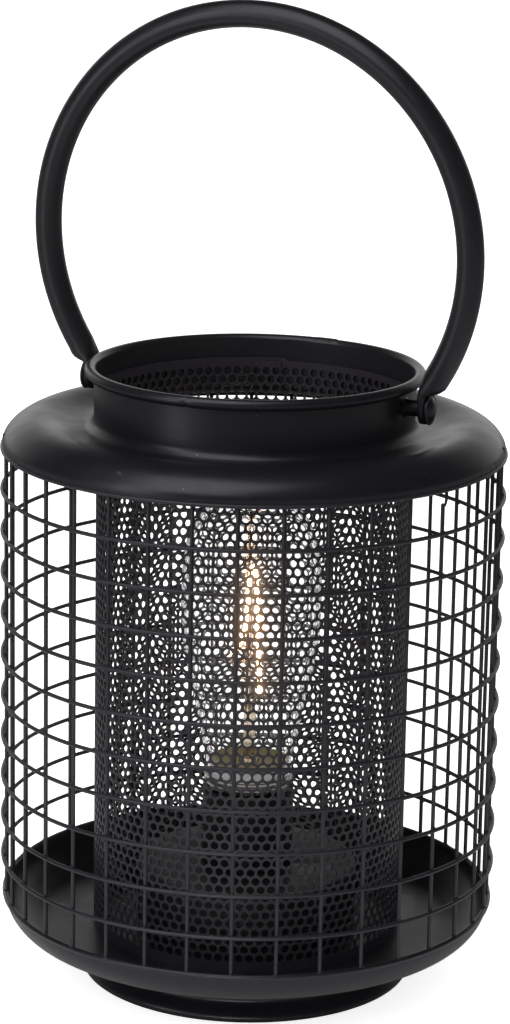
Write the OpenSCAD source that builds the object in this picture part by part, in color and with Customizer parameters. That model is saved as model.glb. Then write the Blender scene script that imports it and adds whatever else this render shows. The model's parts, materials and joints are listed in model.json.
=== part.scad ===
// Lantern table lamp: a wire cage round a perforated sleeve, with a battery-lit bulb inside
// and a hoop handle on top. Millimetres. The origin is the centre of the foot's underside,
// +Z is up, and the handle turns on the X axis direction.

/* [Sheet metal] */
// Thickness of the sheet that the tray and the foot are made from
tray_t = 1.0; // [0.8:0.1:1.6]
// Thickness of the sheet that the cap is spun from
cap_t = 0.8; // [0.6:0.1:1.2]
// Thickness of the perforated sleeve
sleeve_t = 0.8; // [0.5:0.1:1.2]

/* [Foot] */
// Outer radius of the foot where it stands
foot_r = 74.3; // [72:0.1:80]
// Radius of the upright part of the foot, to the middle of the sheet
foot_neck_r = 68; // [64:0.5:70]
// Height of the foot, from the ground to the underside of the tray
foot_h = 20.5; // [18:0.5:30]
// Height of the foot's outward flare
foot_flare_h = 6.5; // [4:0.5:9]
// Height of the straight edge at the bottom of the foot
foot_edge_h = 2; // [1:0.5:3]
// Width of the flange that joins the foot to the tray
foot_flange_w = 7; // [4:0.5:9]

/* [Tray] */
// Radial width of the tray's rounded wall
tray_wall_w = 16.5; // [10:0.5:22]
// Height of the tray's rounded wall, from the floor to the middle of the lip
tray_wall_h = 14.7; // [10:0.1:24]
// Radius of the rolled lip of the tray
tray_lip_r = 1.25; // [1:0.05:2]

/* [Cage] */
// Radius of the circle through the middles of the upright wires
cage_r = 109.15; // [106:0.05:130]
// Diameter of the cage's wire
wire_d = 1.8; // [1.4:0.1:2.6]
// Number of upright wires
upright_count = 36; // [24:4:48]
// Number of wire rings, the one at the cap's edge included
ring_count = 11; // [8:1:11]
// Height from one ring to the next
ring_pitch = 18.8; // [16:0.1:19]
// Height of the top ring above the tray's lip
top_ring_h = 205.1; // [190:0.1:230]
// Length of the uprights' tips above the top ring
tip_h = 2; // [1.5:0.1:2.2]
// Angle by which the far half of the mesh is out of step with the near half
far_shift = 4; // [0:0.5:5]
// Depth that a weld sinks one piece into another
weld_sink = 0.1; // [0.05:0.01:0.2]
// Depth that the uprights' feet sink into the tray's lip
foot_weld = 0.5; // [0.3:0.1:0.8]

/* [Cap] */
// Height of the straight skirt at the cap's edge
cap_skirt_h = 1.5; // [1.5:0.1:4]
// Height of the rounded shoulder above the skirt
shoulder_h = 11.15; // [9:0.05:18]
// Radius of the crest between the shoulder and the dished top
crest_r = 96; // [90:0.5:99]
// Depth of the dish between the crest and the neck
dish_depth = 4.2; // [0.4:0.1:5]
// Radius of the curve that joins the dish to the neck
neck_fillet_r = 4.5; // [3:0.1:9]
// Outer radius of the neck
neck_r = 70.7; // [68:0.1:76]
// Height of the neck, from the crest's level to the middle of the rim
neck_h = 20.55; // [18:0.05:30]
// Radius of the rolled rim
rim_r = 2.5; // [1.5:0.1:3.5]

/* [Sleeve] */
// Free gap between the sleeve and the neck's inside
sleeve_gap = 0.3; // [0.2:0.1:0.6]
// Height of the neck's rolled rim above the sleeve's top edge, to the middle of the rim
sleeve_drop = 7.8; // [6:0.1:12]
// Number of openings in each row round the sleeve
opening_count = 24; // [12:2:24]
// Height of each of the sleeve's openings, which stand for patches of the fine perforation
opening_h = 13.6; // [8:0.1:16]
// Width of the bars between the sleeve's openings
opening_bar = 4.6; // [3:0.1:8]
// Height of the plain margins at the sleeve's bottom and top edges
sleeve_margin = 5; // [4:0.5:10]

/* [Handle] */
// Radius that the handle's tube is bent to
handle_r = 99.5; // [97:0.5:110]
// Height of the bend's centre above the pivots
handle_rise = 66.2; // [62:0.1:80]
// Diameter of the handle's tube
tube_d = 11.8; // [10:0.1:13]
// Wall thickness of the handle's tube
tube_wall = 1.2; // [0.8:0.1:2]
// Angle that the handle leans by where it was left standing
handle_lean = 3.38; // [0:0.01:8]
// Depth of the pivots below the middle of the rim
pivot_drop = 9.2; // [9:0.1:12]
// Thickness of the flattened ends of the handle
plate_t = 3.4; // [3:0.1:5]
// Width of the flattened ends of the handle
plate_w = 13; // [11:0.5:14]
// Free gap between the rolled rim and the handle's flattened ends
plate_gap = 3; // [0.4:0.1:5]
// Diameter of the bosses that carry the pivot screws
boss_d = 7; // [6.5:0.5:9]
// Diameter of the pivot screws where the handle turns
pivot_d = 5; // [4:0.1:5.5]
// Radial clearance of the handle on its pivot screws
pivot_clearance = 0.08; // [0.03:0.01:0.1]
// Diameter of the pivot screws' domed heads
dome_d = 13.4; // [10:0.1:14]
// Height of the pivot screws' domed heads
dome_h = 2.6; // [2:0.1:5.5]

/* [Battery unit] */
// Outer radius of the battery case
case_r = 49.5; // [49:0.5:56]
// Height of the battery case above the tray's floor
case_h = 27.5; // [26:0.5:36]
// Wall thickness of the battery case
case_t = 2.2; // [1.8:0.1:3]
// Thickness of the base plate that closes the case from below
base_t = 2; // [1.6:0.1:3]
// Diameter of one battery cell
cell_d = 14.2; // [14:0.1:14.5]
// Length of one battery cell without its nub
cell_l = 49; // [48:0.5:49.5]
// Number of battery cells side by side
cell_count = 3; // [2:1:3]
// Length of the contact springs
spring_l = 8; // [6:0.5:9]
// Thickness of the battery door
door_t = 1.3; // [1:0.1:1.6]
// Travel of the battery door, from shut to where it lifts off
door_travel = 10; // [9:0.5:12]
// Travel of the slide switch, from off to on
switch_travel = 4; // [3:0.5:6]
// Diameter of the screws that hold the unit together
screw_d = 3; // [2.5:0.1:3.5]

/* [Lamp holder and bulb] */
// Outer radius of the lamp holder
holder_r = 20.5; // [20:0.1:24]
// Height of the lamp holder
holder_h = 36; // [32:0.5:44]
// Wall thickness of the lamp holder round the bulb's neck
holder_t = 1; // [0.8:0.1:1.5]
// Depth that the bulb's neck goes into the holder
neck_depth = 11; // [8:0.5:14]
// Height of the bulb's straight neck above the holder
bulb_neck_h = 12; // [9:0.5:16]
// Largest radius of the bulb
bulb_r = 31.3; // [28:0.1:40]
// Height from the bulb's straight neck to its widest place
bulb_flare_h = 75; // [60:1:90]
// Height of the bulb's rounded top above its widest place
bulb_top_h = 49; // [40:1:55]
// Thickness of the bulb's clear wall
glass_t = 0.9; // [0.7:0.1:1.4]
// Radius of the stem that carries the filament
stem_r = 2.6; // [2:0.1:4]
// Height of the stem above the gold plate
stem_h = 27; // [20:0.5:32]
// Radius of the flexible filament
filament_r = 0.9; // [0.6:0.1:1.4]
// Height of the filament's top above the gold plate
filament_h = 89.5; // [80:0.5:100]

/* [Hidden] */
$fn = 64;

eps = 0.01;       // overlap that keeps a cut's faces apart
run_gap = 0.3;    // free gap between pieces that move past each other
fit_gap = 0.15;   // free gap of a piece that drops into its seat
round_fn = 32;    // facets of the children of a hull
arc_steps = 10;   // stretches that an outline's arc is drawn in

// Heights of the tray and the cage
floor_z = foot_h + tray_t;
lip_z = foot_h + tray_t / 2 + tray_wall_h;
top_ring_z = lip_z + top_ring_h + tray_lip_r - foot_weld;
ring_r = cage_r + wire_d - weld_sink;
lip_circle_r = cage_r + tray_lip_r / 2;
tray_corner_r = lip_circle_r - tray_wall_w;
far_from = 25;    // angle where the far half of the mesh begins

// Heights and radii of the cap
skirt_r = cage_r + wire_d / 2 - weld_sink + cap_t;
cap_edge_z = top_ring_z + wire_d / 2 - weld_sink;
skirt_top_z = cap_edge_z + cap_skirt_h;
crest_z = skirt_top_z + shoulder_h;
shoulder_power = 1.15;  // 1 makes the shoulder a plain arc, and more makes it slimmer
rim_z = crest_z + neck_h;
neck_in_r = neck_r - cap_t;
rim_circle_r = neck_in_r + rim_r;

sleeve_r = neck_in_r - sleeve_gap;
sleeve_top_z = rim_z - sleeve_drop;
opening_w = 2 * PI * sleeve_r / opening_count - opening_bar;
opening_span = sleeve_top_z - floor_z - 2 * sleeve_margin;
opening_rows = floor((opening_span + opening_bar) / (opening_h + opening_bar));
opening_pitch = (opening_span - opening_h) / (opening_rows - 1);

// The handle and its pivots
pivot_z = rim_z - pivot_drop;
plate_x = rim_circle_r + rim_r + plate_gap;
head_x = plate_x + plate_t + run_gap;
boss_end_x = plate_x - run_gap;
hoop_end_h = 14;
end_corner_r = 3.4;
hoop_end_angle = acos((handle_rise - hoop_end_h) / handle_r);

// The battery unit, from the ground up
base_z = foot_h - base_t;
case_top_z = floor_z + case_h;
case_in_r = case_r - case_t;
case_top_t = 2;
hole_r = case_in_r - 0.7;
cell_gap = 0.6;
cell_pitch = cell_d + cell_gap;
contact_t = 0.5;
nub_l = 1.5;
nub_r = 2.7;
bay_l = cell_l + nub_l + spring_l + 2 * contact_t;
bay_w = cell_count * cell_pitch + cell_gap;
bay_wall = 1.5;
cell_z = base_z + 0.5 + cell_d / 2;
bay_roof_z = cell_z + cell_d / 2 + 0.5;
screw_circle_r = case_in_r - 5.1;
screw_angles = [55, 125, 270];
screw_boss_r = screw_d / 2 + 2;
screw_head_h = 1.6;
screw_head_r = screw_d * 0.95;
screw_bite = 12;

// The door and its rails
door_w = bay_w + 4;
door_l = bay_l + 4;
door_z = base_z - run_gap - door_t;
rail_t = 1.6;
rail_lip_w = 1.3;
rail_lip_t = 1;
rail_lip_l = 8;
rail_lip_xs = [-22, 8];
grip_h = 0.7;

// The switch and its board
board_t = 1.2;
board_l = 34;
board_w = 11;
board_y = bay_w / 2 + bay_wall + 1.3 + board_w / 2;
board_z = floor_z + 5.9;
switch_l = 13;
switch_w = 5.8;
stem_l = 2.6;
stem_w = 2;
knob_l = 6;
knob_w = 4.2;
knob_h = 1.3;
slot_l = switch_travel + stem_l + 2 * run_gap;
slot_w = stem_w + 2 * run_gap;

// The holder and the bulb
holder_top_z = case_top_z + holder_h;
holder_floor_t = 2;
seat_z = holder_top_z - neck_depth;
seat_in_r = holder_r - 4.5;
bulb_neck_r = holder_r - holder_t - fit_gap;
neck_bore_r = bulb_neck_r - glass_t;
flare_z = holder_top_z + bulb_neck_h;
wide_z = flare_z + bulb_flare_h;
plate_z = flare_z - 1.5;
gold_t = 1.5;
core_r = neck_bore_r - 0.55;
wire_hole_r = 5;
holder_screw_x = 12;
lead_r = 0.6;
support_r = 0.4;

// The filament is one soft strip hung over a hook, with its two ends on the leads.
// x is to the right, y is away and z is above the gold plate, before the turn by bulb_turn.
// The form is drawn for a filament whose top is at filament_form_h.
bulb_turn = 23;
filament_form_h = 89.5;
filament_form = [
  [4.6, -5, 32.5], [4.3, -4.6, 38], [3.7, -3.8, 50], [2.9, -2.6, 65], [2.2, -1.4, 80],
  [1.6, -0.4, 87.5], [0.6, 0.4, 89.5], [-0.4, 1, 87.5], [-1.2, 1.6, 78], [-1.9, 2.2, 67],
  [-3.2, 2.8, 57], [-6, 3.2, 50.5], [-9.2, 3, 46.5]
];
filament_path = filament_form * filament_h / filament_form_h;
filament_start = filament_path[0];
filament_end = filament_path[len(filament_path) - 1];
hook_at = filament_path[6] - [0, 0, filament_r + support_r];

// Points of an arc in a plane, from one angle to another
function arc(cx, cy, rx, ry, a0, a1, steps = arc_steps) =
  [for (i = [0:steps]) let (a = a0 + (a1 - a0) * i / steps) [cx + rx * cos(a), cy + ry * sin(a)]];

// Unit vector from one point to another
function heading(p, q) = (q - p) / norm(q - p);

// The direction of an outline at its point i
function along(path, i) =
  heading(path[max(i - 1, 0)], path[min(i + 1, len(path) - 1)]);

// The outline that runs beside a path, at a distance to its left
function beside(path, d) =
  [for (i = [0:len(path) - 1]) let (t = along(path, i)) path[i] + d * [-t[1], t[0]]];

// A spun sheet of one thickness whose outer face follows a path
module spun_sheet(path, t) {
  inner = beside(path, t);
  rotate_extrude($fn = 128)
    polygon(concat(path, [for (i = [len(inner) - 1:-1:0]) inner[i]]));
}

module tube(r_out, r_in, z0, z1) {
  translate([0, 0, z0])
    difference() {
      cylinder(r = r_out, h = z1 - z0);
      translate([0, 0, -eps]) cylinder(r = r_in, h = z1 - z0 + 2 * eps);
    }
}

module hoop(r, wire_r, z) {
  translate([0, 0, z]) rotate_extrude($fn = 128) translate([r, 0]) circle(r = wire_r, $fn = 32);
}

module plain_box(x0, x1, y0, y1, z0, z1) {
  translate([x0, y0, z0]) cube([x1 - x0, y1 - y0, z1 - z0]);
}

// A round wire through a list of points, with a ball at each bend
module bent_wire(points, r) {
  for (i = [0:len(points) - 2]) {
    p = points[i];
    v = points[i + 1] - p;
    translate(p)
      rotate([0, acos(v[2] / norm(v)), atan2(v[1], v[0])])
        cylinder(r = r, h = norm(v), $fn = 24);
  }
  if (len(points) > 2)
    for (i = [1:len(points) - 2]) translate(points[i]) sphere(r = r * 1.06, $fn = 24);
}

// A tube swept along a path, whose direction never comes near to that of the vector side
module swept_tube(path, r, sides, side) {
  count = len(path);
  points = [for (i = [0:count - 1]) let (
      t = heading(path[max(i - 1, 0)], path[min(i + 1, count - 1)]),
      n = heading([0, 0, 0], cross(t, side)),
      b = cross(t, n)
    ) for (k = [0:sides - 1]) path[i] + r * (cos(k * 360 / sides) * n + sin(k * 360 / sides) * b)];
  walls = [for (i = [0:count - 2], k = [0:sides - 1]) let (k2 = (k + 1) % sides)
    [i * sides + k, i * sides + k2, (i + 1) * sides + k2, (i + 1) * sides + k]];
  ends = [[for (k = [0:sides - 1]) sides - 1 - k], [for (k = [0:sides - 1]) (count - 1) * sides + k]];
  polyhedron(points, concat(walls, ends));
}

// ---- Sheet metal and wire ----

module foot_ring() {
  side_r = foot_neck_r + tray_t / 2;
  bend_r = 2;
  flare_w = foot_r - side_r;
  outline = concat(
    [[foot_r, 0], [foot_r, foot_edge_h]],
    [for (i = [1:arc_steps]) let (u = i / arc_steps)
      [side_r + flare_w * (1 + cos(180 * u)) / 2, foot_edge_h + foot_flare_h * u]],
    arc(side_r - bend_r, foot_h - bend_r, bend_r, bend_r, 0, 90, 6),
    [[side_r - bend_r - foot_flange_w, foot_h]]
  );
  color([0.07, 0.07, 0.08]) spun_sheet(outline, tray_t);
}

module tray() {
  corner_z = floor_z - tray_t;
  outline = concat(
    [[hole_r, corner_z]],
    arc(tray_corner_r, lip_z, tray_wall_w, lip_z - corner_z, -90, 0, 16)
  );
  color([0.07, 0.07, 0.08]) {
    spun_sheet(outline, tray_t);
    hoop(lip_circle_r, tray_lip_r, lip_z);
  }
}

// The mesh is rolled from two lengths, and the far one is set round by far_shift
function upright_angle(k) = let (a = k * 360 / upright_count)
  a + (a > far_from && a < far_from + 180 ? far_shift : 0);

module cage_uprights() {
  bottom_z = lip_z + tray_lip_r - foot_weld;
  color([0.1, 0.1, 0.11])
    for (k = [0:upright_count - 1])
      rotate([0, 0, upright_angle(k)])
        translate([cage_r, 0, bottom_z])
          cylinder(d = wire_d, h = top_ring_z + tip_h - bottom_z, $fn = 24);
}

module cage_rings() {
  color([0.1, 0.1, 0.11])
    for (k = [0:ring_count - 1]) hoop(ring_r, wire_d / 2, top_ring_z - k * ring_pitch);
}

module cap() {
  dish_end_r = neck_r + neck_fillet_r;
  dish_w = crest_r - dish_end_r;
  fillet_z = crest_z - dish_depth + neck_fillet_r;
  shoulder_steps = 16;
  outline = concat(
    [[skirt_r, cap_edge_z]],
    [for (i = [0:shoulder_steps]) let (a = 90 * i / shoulder_steps)
      [crest_r + (skirt_r - crest_r) * pow(cos(a), shoulder_power),
       skirt_top_z + shoulder_h * pow(sin(a), shoulder_power)]],
    [for (i = [1:arc_steps]) let (u = i / arc_steps)
      [crest_r - dish_w * u, crest_z - dish_depth * (1 - cos(180 * u)) / 2]],
    arc(dish_end_r, fillet_z, -neck_fillet_r, -neck_fillet_r, 90 - 90 / arc_steps, 0, arc_steps - 1),
    [[neck_r, rim_z]]
  );
  color([0.08, 0.08, 0.09]) spun_sheet(outline, cap_t);
}

module neck_rim() {
  color([0.08, 0.08, 0.09])
    difference() {
      hoop(rim_circle_r, rim_r, rim_z);
      tube(neck_r, neck_in_r - 1, rim_z - rim_r - 1, rim_z);
    }
}

module perforated_sleeve() {
  color([0.12, 0.12, 0.13])
    difference() {
      tube(sleeve_r, sleeve_r - sleeve_t, floor_z, sleeve_top_z);
      for (row = [0:opening_rows - 1], k = [0:opening_count - 1])
        rotate([0, 0, k * 360 / opening_count])
          translate([0, 0, floor_z + sleeve_margin + row * opening_pitch])
            plain_box(sleeve_r - 2 * sleeve_t - 1, sleeve_r + 1,
                      -opening_w / 2, opening_w / 2, 0, opening_h);
    }
}

// ---- Handle and its pivots ----

// Places its children at the right-hand pivot and again, mirrored, at the left-hand one
module both_pivots() {
  for (side = [0, 1]) mirror([side, 0, 0]) translate([0, 0, pivot_z]) rotate([0, 90, 0]) children();
}

module pivot_bosses() {
  bore_l = boss_end_x - neck_r - 0.5;
  color([0.08, 0.08, 0.09])
    both_pivots()
      difference() {
        translate([0, 0, neck_r - cap_t / 2]) cylinder(d = boss_d, h = boss_end_x - neck_r + cap_t / 2);
        translate([0, 0, boss_end_x - bore_l]) cylinder(d = pivot_d - 1, h = bore_l + eps);
      }
}

module pivot_screws() {
  thread_l = boss_end_x - neck_r - 0.8;
  cap_r = (dome_d * dome_d / 4 + dome_h * dome_h) / (2 * dome_h);
  color([0.07, 0.07, 0.08])
    both_pivots() {
      translate([0, 0, boss_end_x - thread_l]) cylinder(d = pivot_d - 1, h = thread_l + eps);
      translate([0, 0, boss_end_x]) cylinder(d = pivot_d, h = head_x - boss_end_x + eps);
      translate([0, 0, head_x])
        intersection() {
          cylinder(d = dome_d, h = dome_h);
          translate([0, 0, dome_h - cap_r]) sphere(r = cap_r);
        }
    }
}

// One flattened end of the handle, to the right, with the pivot at the origin
module handle_end() {
  slab_h = 1;
  slab_z = dome_d / 2 + 0.4;
  difference() {
    translate([plate_x, 0, 0])
      rotate([90, 0, 90]) {
        cylinder(d = plate_w, h = plate_t);
        translate([-plate_w / 2, 0, 0]) cube([plate_w, slab_z + slab_h, plate_t]);
      }
    translate([plate_x + plate_t / 2, 0, 0])
      rotate([0, 90, 0])
        cylinder(r = pivot_d / 2 + pivot_clearance, h = plate_t + 1, center = true);
  }
  hull() {
    plain_box(plate_x, plate_x + plate_t, -plate_w / 2, plate_w / 2, slab_z, slab_z + slab_h);
    translate([plate_x + 2 * end_corner_r, 0, slab_z + end_corner_r])
      rotate([90, 0, 0]) cylinder(r = end_corner_r, h = plate_w - 2 * slab_h, center = true, $fn = round_fn);
    translate([handle_r * sin(hoop_end_angle), 0, hoop_end_h])
      rotate([0, 90 - hoop_end_angle, 0])
        cylinder(d = tube_d + 0.3, h = slab_h, $fn = round_fn);
  }
}

module handle_hoop() {
  translate([0, 0, handle_rise])
    rotate([90, 0, 0])
      rotate([0, 0, hoop_end_angle - 90])
        rotate_extrude(angle = 360 - 2 * hoop_end_angle, $fn = 128)
          translate([handle_r, 0])
            difference() {
              circle(d = tube_d, $fn = 48);
              circle(d = tube_d - 2 * tube_wall, $fn = 48);
            }
}

module handle() {
  color([0.06, 0.06, 0.07])
    translate([0, 0, pivot_z])
      rotate([handle_lean, 0, 0]) {
        handle_hoop();
        handle_end();
        mirror([1, 0, 0]) handle_end();
      }
}

// ---- Battery unit ----

module at_case_screws() {
  for (a = screw_angles) rotate([0, 0, a]) translate([screw_circle_r, 0, 0]) children();
}

module battery_case() {
  edge_r = 1.2;
  shell = concat(
    [[0, floor_z], [case_r, floor_z]],
    arc(case_r - edge_r, case_top_z - edge_r, edge_r, edge_r, 0, 90, 6),
    [[0, case_top_z]]
  );
  color([0.09, 0.09, 0.1])
    difference() {
      union() {
        difference() {
          rotate_extrude($fn = 96) polygon(shell);
          translate([0, 0, floor_z - eps]) cylinder(r = case_in_r, h = case_h - case_top_t + eps);
        }
        at_case_screws()
          translate([0, 0, floor_z]) cylinder(r = screw_boss_r, h = case_h - case_top_t + eps);
      }
      at_case_screws() translate([0, 0, floor_z - eps]) cylinder(d = screw_d, h = screw_bite + 1);
      translate([0, 0, case_top_z - case_top_t - 1]) cylinder(r = wire_hole_r, h = case_top_t + 2);
      for (side = [-1, 1])
        translate([side * holder_screw_x, 0, case_top_z - case_top_t - 1])
          cylinder(d = screw_d, h = case_top_t + 2);
    }
}

module door_rails() {
  rail_x = door_l / 2 + run_gap;
  rail_z = door_z - run_gap - rail_lip_t;
  edge_y = door_w / 2 + run_gap;
  for (side = [0, 1]) mirror([0, side, 0]) {
    plain_box(-rail_x, rail_x, edge_y, edge_y + rail_t, rail_z, base_z + eps);
    for (x = rail_lip_xs)
      plain_box(x, x + rail_lip_l, edge_y - rail_lip_w, edge_y + eps, rail_z, rail_z + rail_lip_t);
  }
  plain_box(rail_x, rail_x + rail_t, -door_w / 2, door_w / 2, door_z, base_z + eps);
}

// Holes in the bay's end walls for the two battery wires
module lead_holes() {
  last = cell_count - 1;
  for (k = [0, last])
    translate([(k == 0 ? -1 : nub_side(last)) * (bay_l / 2 + bay_wall / 2), cell_y(k), cell_z + 2])
      rotate([0, 90, 0]) cylinder(r = lead_r + 0.15, h = bay_wall + 1, center = true, $fn = 24);
}

module case_base() {
  bay_x = bay_l / 2;
  bay_y = bay_w / 2;
  post_x = board_l / 2 - 3;
  color([0.11, 0.11, 0.12])
    difference() {
      union() {
        translate([0, 0, base_z]) cylinder(r = case_r, h = base_t);
        translate([0, 0, base_z]) cylinder(r = hole_r - run_gap, h = base_t + tray_t);
        plain_box(-bay_x - bay_wall, bay_x + bay_wall, -bay_y - bay_wall, bay_y + bay_wall,
                  base_z + base_t, bay_roof_z + bay_wall);
        for (side = [-1, 1])
          translate([side * post_x, board_y, base_z + base_t])
            cylinder(r = 1.5, h = board_z - base_z - base_t);
        door_rails();
      }
      plain_box(-bay_x, bay_x, -bay_y, bay_y, base_z - eps, bay_roof_z);
      plain_box(-slot_l / 2, slot_l / 2, board_y - slot_w / 2, board_y + slot_w / 2,
                base_z - 1, floor_z + 1);
      at_case_screws() translate([0, 0, base_z - 1]) cylinder(d = screw_d + 0.4, h = base_t + tray_t + 2);
      lead_holes();
    }
}

module case_screws() {
  slot_l = 3.6;
  slot_w = 0.6;
  color([0.6, 0.6, 0.62])
    at_case_screws() translate([0, 0, base_z]) {
      translate([0, 0, -screw_head_h / 4]) cylinder(d = screw_d, h = base_t + screw_bite + screw_head_h / 4);
      difference() {
        translate([0, 0, -screw_head_h]) cylinder(r = screw_head_r, h = screw_head_h);
        for (a = [0, 90])
          rotate([0, 0, a])
            translate([-slot_l / 2, -slot_w / 2, -screw_head_h - 1]) cube([slot_l, slot_w, 1.8]);
      }
    }
}

// A plate whose notches come under the rails' lips when it has slid open, so that it lifts off
module battery_door() {
  notch_w = rail_lip_w + run_gap;
  color([0.11, 0.11, 0.12]) {
    difference() {
      plain_box(-door_l / 2, door_l / 2, -door_w / 2, door_w / 2, door_z, door_z + door_t);
      for (x = rail_lip_xs, side = [0, 1])
        mirror([0, side, 0])
          plain_box(x + door_travel - 0.5, x + door_travel + rail_lip_l + 0.5,
                    door_w / 2 - notch_w, door_w / 2 + 1, door_z - 1, door_z + door_t + 1);
    }
    for (k = [0:4])
      plain_box(-door_l / 2 + 6 + k * 2.4, -door_l / 2 + 7.2 + k * 2.4, -9, 9,
                door_z - grip_h, door_z + eps);
  }
}

// The side on which cell k has its nub: 1 is towards +X
function nub_side(k) = k % 2 == 0 ? 1 : -1;
function cell_y(k) = (k - (cell_count - 1) / 2) * cell_pitch;

module battery_cells() {
  nub_x = bay_l / 2 - contact_t;
  color([0.75, 0.6, 0.3])
    for (k = [0:cell_count - 1])
      translate([0, cell_y(k), cell_z])
        mirror([nub_side(k) > 0 ? 0 : 1, 0, 0])
          rotate([0, 90, 0]) {
            translate([0, 0, nub_x - nub_l - cell_l]) cylinder(d = cell_d, h = cell_l);
            translate([0, 0, nub_x - nub_l - eps]) cylinder(r = nub_r, h = nub_l + eps);
          }
}

// A conical spring with its narrow end on the cell and its wide end against the plate
module coil_spring(length, r0, r1, wire_r, turns) {
  steps = turns * 10;
  path = [for (i = [0:steps]) let (u = i / steps, a = 360 * turns * u, r = r0 + (r1 - r0) * u)
    [r * cos(a), r * sin(a), wire_r + (length - 2 * wire_r) * u]];
  swept_tube(path, wire_r, 6, [0, 0, 1]);
}

module contact_springs() {
  spring_x = bay_l / 2 - contact_t - spring_l;
  spring_wire_r = 0.35;
  tip_r = nub_r - 0.1;
  wide_r = cell_d / 2 - nub_r;
  color([0.8, 0.8, 0.8])
    for (k = [0:cell_count - 1])
      translate([0, cell_y(k), cell_z])
        mirror([nub_side(k) > 0 ? 1 : 0, 0, 0])
          rotate([0, 90, 0])
            translate([0, 0, spring_x]) coil_spring(spring_l, tip_r, wide_r, spring_wire_r, 5);
}

// A contact plate on the bay's end wall, for cells k0 to k1
module contact_plate(side, k0, k1, tail = 0) {
  x = side * (bay_l / 2 - contact_t / 2);
  half = cell_d / 2 - 1.5;
  plain_box(x - contact_t / 2, x + contact_t / 2, cell_y(k0) - half, cell_y(k1) + half,
            cell_z - half, cell_z + half + tail);
}

module contact_links() {
  color([0.78, 0.78, 0.8])
    for (k = [0:cell_count - 2]) contact_plate(nub_side(k), k, k + 1);
}

module contact_ends() {
  last = cell_count - 1;
  color([0.78, 0.78, 0.8]) {
    contact_plate(-1, 0, 0);
    contact_plate(nub_side(last), last, last);
  }
}

module circuit_board() {
  color([0.1, 0.35, 0.2])
    plain_box(-board_l / 2, board_l / 2, board_y - board_w / 2, board_y + board_w / 2,
              board_z, board_z + board_t);
}

module driver_chip() {
  color([0.05, 0.05, 0.05]) {
    plain_box(-3, 3, board_y - 2, board_y + 2, board_z + board_t, board_z + board_t + 1.5);
    for (k = [-1.5:1:1.5], side = [-1, 1])
      plain_box(k * 1.3 - 0.2, k * 1.3 + 0.2, board_y + side * 2.4 - 0.5, board_y + side * 2.4 + 0.5,
                board_z + board_t, board_z + board_t + 0.5);
  }
}

module board_capacitor() {
  color([0.15, 0.15, 0.3])
    translate([11, board_y, board_z + board_t]) cylinder(r = 2.5, h = 6, $fn = 32);
}

module switch_body() {
  color([0.7, 0.7, 0.72])
    difference() {
      plain_box(-switch_l / 2, switch_l / 2, board_y - switch_w / 2, board_y + switch_w / 2,
                floor_z + 0.5, board_z);
      plain_box(-slot_l / 2, slot_l / 2, board_y - slot_w / 2, board_y + slot_w / 2,
                floor_z, floor_z + 3.2);
    }
}

module switch_slider() {
  rest_x = -switch_travel / 2;
  knob_top = base_z - run_gap;
  color([0.85, 0.85, 0.83])
    translate([rest_x, board_y, 0])
      union() {
        plain_box(-stem_l / 2, stem_l / 2, -stem_w / 2, stem_w / 2, knob_top - eps, floor_z + 2.8);
        difference() {
          plain_box(-knob_l / 2, knob_l / 2, -knob_w / 2, knob_w / 2, knob_top - knob_h, knob_top);
          for (k = [-1:1])
            plain_box(k * 1.6 - 0.3, k * 1.6 + 0.3, -knob_w, knob_w,
                      knob_top - knob_h - 1, knob_top - knob_h + 0.4);
        }
      }
}

// A wire from the contact plate at the end of cell k, over the bay to the board
module battery_lead(side, k, x) {
  over_z = bay_roof_z + bay_wall + lead_r + 0.2;
  end_x = bay_l / 2 + bay_wall + lead_r + 0.2;
  bent_wire([[side * (bay_l / 2 - contact_t / 2), cell_y(k), cell_z + 2],
             [side * end_x, cell_y(k), cell_z + 2], [side * end_x, cell_y(k) + 4, over_z],
             [x, board_y - 2, over_z], [x, board_y - 2, board_z + board_t]], lead_r);
}

// A wire from the board, up through the holder to the bulb
module lamp_lead(side) {
  up_z = case_top_z - case_top_t - 3;
  bent_wire([[side * 6, board_y - 3.5, board_z + board_t], [side * 6, board_y - 3.5, up_z],
             [side * 1.5, 0, up_z], [side * 1.5, 0, plate_z]], lead_r);
}

module red_leads() {
  last = cell_count - 1;
  color([0.7, 0.1, 0.1]) {
    battery_lead(nub_side(last), last, 14);
    lamp_lead(1);
  }
}

module black_leads() {
  color([0.1, 0.1, 0.1]) {
    battery_lead(-1, 0, -14);
    lamp_lead(-1);
  }
}

// ---- Lamp holder and bulb ----

module lamp_holder() {
  color([0.05, 0.05, 0.06])
    difference() {
      translate([0, 0, case_top_z]) cylinder(r = holder_r, h = holder_h);
      translate([0, 0, seat_z]) cylinder(r = holder_r - holder_t, h = neck_depth + 1);
      translate([0, 0, case_top_z + holder_floor_t]) cylinder(r = seat_in_r, h = holder_h);
      translate([0, 0, case_top_z - 1]) cylinder(r = wire_hole_r, h = holder_floor_t + 2);
      for (side = [-1, 1])
        translate([side * holder_screw_x, 0, case_top_z - 1])
          cylinder(d = screw_d + 0.4, h = holder_floor_t + 2);
    }
}

module holder_screws() {
  head_z = case_top_z + holder_floor_t;
  color([0.6, 0.6, 0.62])
    for (side = [-1, 1])
      translate([side * holder_screw_x, 0, 0]) {
        translate([0, 0, case_top_z - case_top_t - 2])
          cylinder(d = screw_d, h = holder_floor_t + case_top_t + 2);
        translate([0, 0, head_z]) cylinder(r = screw_head_r, h = screw_head_h);
      }
}

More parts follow.
